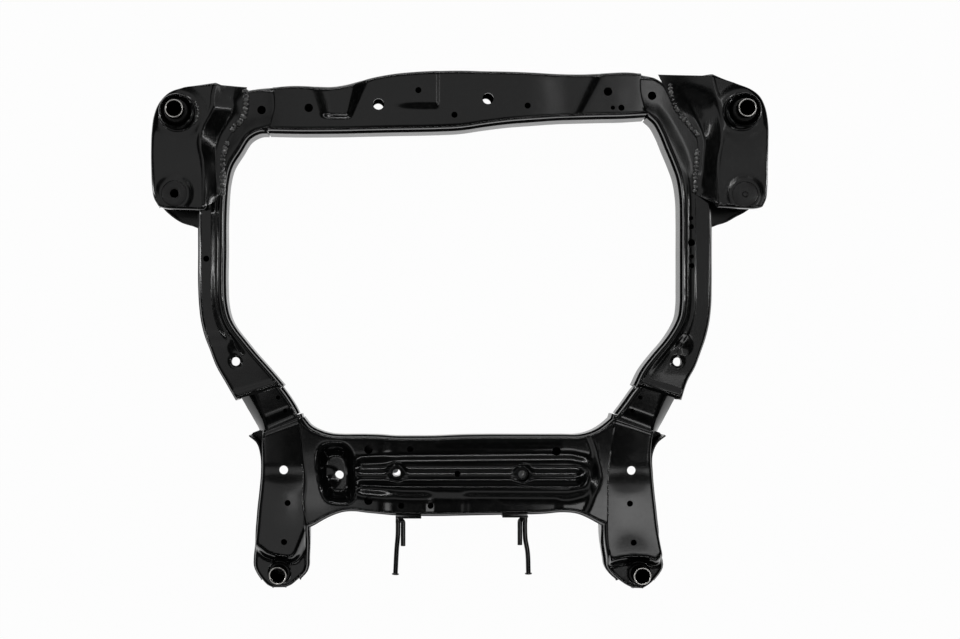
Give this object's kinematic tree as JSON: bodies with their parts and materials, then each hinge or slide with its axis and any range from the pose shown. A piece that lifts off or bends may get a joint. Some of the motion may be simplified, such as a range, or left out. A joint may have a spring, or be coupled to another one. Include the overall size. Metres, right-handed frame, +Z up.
{
  "type": "subframe",
  "caption": "Welded pressed-steel front subframe: curved side rails and crossmembers joined in a ring, with bushed body mounts, control-arm brackets and exhaust hanger rods.",
  "frame": {"origin": "centre of the footprint, on the floor under the feet of the bush sleeves", "axes": "+Z up, +Y towards the vehicle's front crossmember, +X along the crossmembers to the right in the picture"},
  "size_m": [1.0016, 0.8639, 0.125],
  "materials": {
    "painted_steel": "gloss",
    "rubber": "matte",
    "bare_steel": "satin"
  },
  "bodies": {
    "root": {"front_crossmember_upper": "painted_steel", "front_crossmember_lower": "painted_steel", "left_rail_upper": "painted_steel", "right_rail_upper": "painted_steel", "left_rail_lower": "painted_steel", "right_rail_lower": "painted_steel", "left_link_upper": "painted_steel", "right_link_upper": "painted_steel", "left_link_lower": "painted_steel", "right_link_lower": "painted_steel", "left_leg_upper": "painted_steel", "right_leg_upper": "painted_steel", "left_leg_lower": "painted_steel", "right_leg_lower": "painted_steel", "rear_crossmember_upper": "painted_steel", "rear_crossmember_lower": "painted_steel", "left_bracket_upper": "painted_steel", "right_bracket_upper": "painted_steel", "left_bracket_lower": "painted_steel", "right_bracket_lower": "painted_steel", "left_front_tube": "painted_steel", "right_front_tube": "painted_steel", "left_front_can": "painted_steel", "right_front_can": "painted_steel", "left_rear_tube": "painted_steel", "right_rear_tube": "painted_steel", "left_rear_can": "painted_steel", "right_rear_can": "painted_steel", "left_arm_boss": "painted_steel", "right_arm_boss": "painted_steel", "left_hanger_plate": "painted_steel", "right_hanger_plate": "painted_steel", "left_hanger_rod": "painted_steel", "right_hanger_rod": "painted_steel", "steering_mount_collars": "painted_steel", "weld_nuts": "painted_steel", "left_front_rubber": "rubber", "right_front_rubber": "rubber", "left_rear_rubber": "rubber", "right_rear_rubber": "rubber", "left_front_sleeve": "bare_steel", "right_front_sleeve": "bare_steel", "left_rear_sleeve": "bare_steel", "right_rear_sleeve": "bare_steel"}
  },
  "joints": []
}
